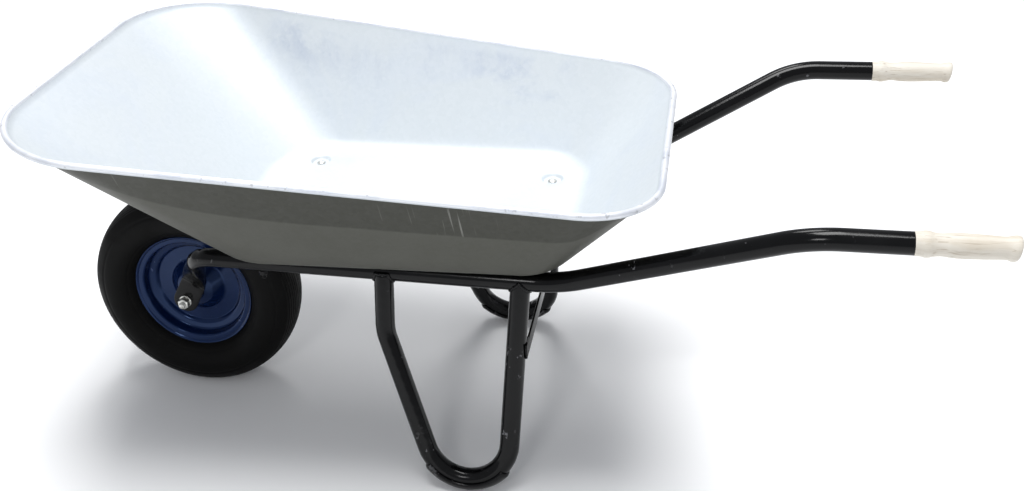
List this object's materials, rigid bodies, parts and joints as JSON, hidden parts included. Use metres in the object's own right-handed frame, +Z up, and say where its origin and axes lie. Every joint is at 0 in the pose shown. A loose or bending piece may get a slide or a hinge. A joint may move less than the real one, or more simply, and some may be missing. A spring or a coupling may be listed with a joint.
{
  "type": "wheelbarrow",
  "caption": "Wheelbarrow with a deep pressed steel tray, a bent tube frame with two looped legs, one pneumatic wheel and turned wooden grips.",
  "frame": {"origin": "on the floor, under the middle of the overall length and width", "axes": "+Z up, +Y from the wheel to the grips, +X to the side that carries the axle nut"},
  "size_m": [0.7302, 1.5139, 0.6532],
  "materials": {
    "galvanised_steel": "bright galvanised sheet with burnished marks",
    "black_paint": "gloss black paint",
    "blue_paint": "gloss dark blue paint",
    "tyre_rubber": "ribbed black rubber",
    "tube_rubber": "smooth black rubber",
    "wood": "pale turned wood, clear finish",
    "zinc_plate": "bright zinc plating",
    "bearing_steel": "ground steel",
    "brass": "brass, plain",
    "black_plastic": "matt black"
  },
  "bodies": {
    "frame": {"tray": "galvanised_steel", "left_rail": "black_paint", "right_rail": "black_paint", "rear_crossmember": "black_paint", "left_leg": "black_paint", "right_leg": "black_paint", "left_foot_plate": "black_paint", "right_foot_plate": "black_paint", "leg_cross_brace": "black_paint", "left_grip": "wood", "right_grip": "wood", "tray_bolts": "zinc_plate", "tray_washers": "zinc_plate", "tray_nuts": "zinc_plate", "axle_bolt": "zinc_plate", "axle_nut": "zinc_plate", "axle_washers": "zinc_plate", "left_fork_spacer": "zinc_plate", "right_fork_spacer": "zinc_plate", "left_bearing_inner_ring": "bearing_steel", "right_bearing_inner_ring": "bearing_steel", "bearing_spacer": "zinc_plate"},
    "wheel": {"tyre": "tyre_rubber", "inner_tube": "tube_rubber", "left_rim_half": "blue_paint", "right_rim_half": "blue_paint", "valve_stem": "brass", "valve_cap": "black_plastic", "hub_tube": "blue_paint", "left_bearing_outer_ring": "bearing_steel", "right_bearing_outer_ring": "bearing_steel"},
    "left_ball_set": {"left_bearing_balls": "bearing_steel", "left_bearing_cage": "bearing_steel"},
    "right_ball_set": {"right_bearing_balls": "bearing_steel", "right_bearing_cage": "bearing_steel"}
  },
  "joints": [
    {"name": "wheel_spin", "type": "hinge", "parent": "frame", "child": "wheel", "pos_m": [0, -0.557, 0.2], "axis": [1, 0, 0], "continuous": true},
    {"name": "left_ball_set_spin", "type": "hinge", "parent": "frame", "child": "left_ball_set", "pos_m": [0, -0.557, 0.2], "axis": [1, 0, 0], "continuous": true},
    {"name": "right_ball_set_spin", "type": "hinge", "parent": "frame", "child": "right_ball_set", "pos_m": [0, -0.557, 0.2], "axis": [1, 0, 0], "continuous": true}
  ],
  "couplings": [
    {"joint": "left_ball_set_spin", "follows": "wheel_spin", "ratio": 0.6326},
    {"joint": "right_ball_set_spin", "follows": "wheel_spin", "ratio": 0.6326}
  ]
}
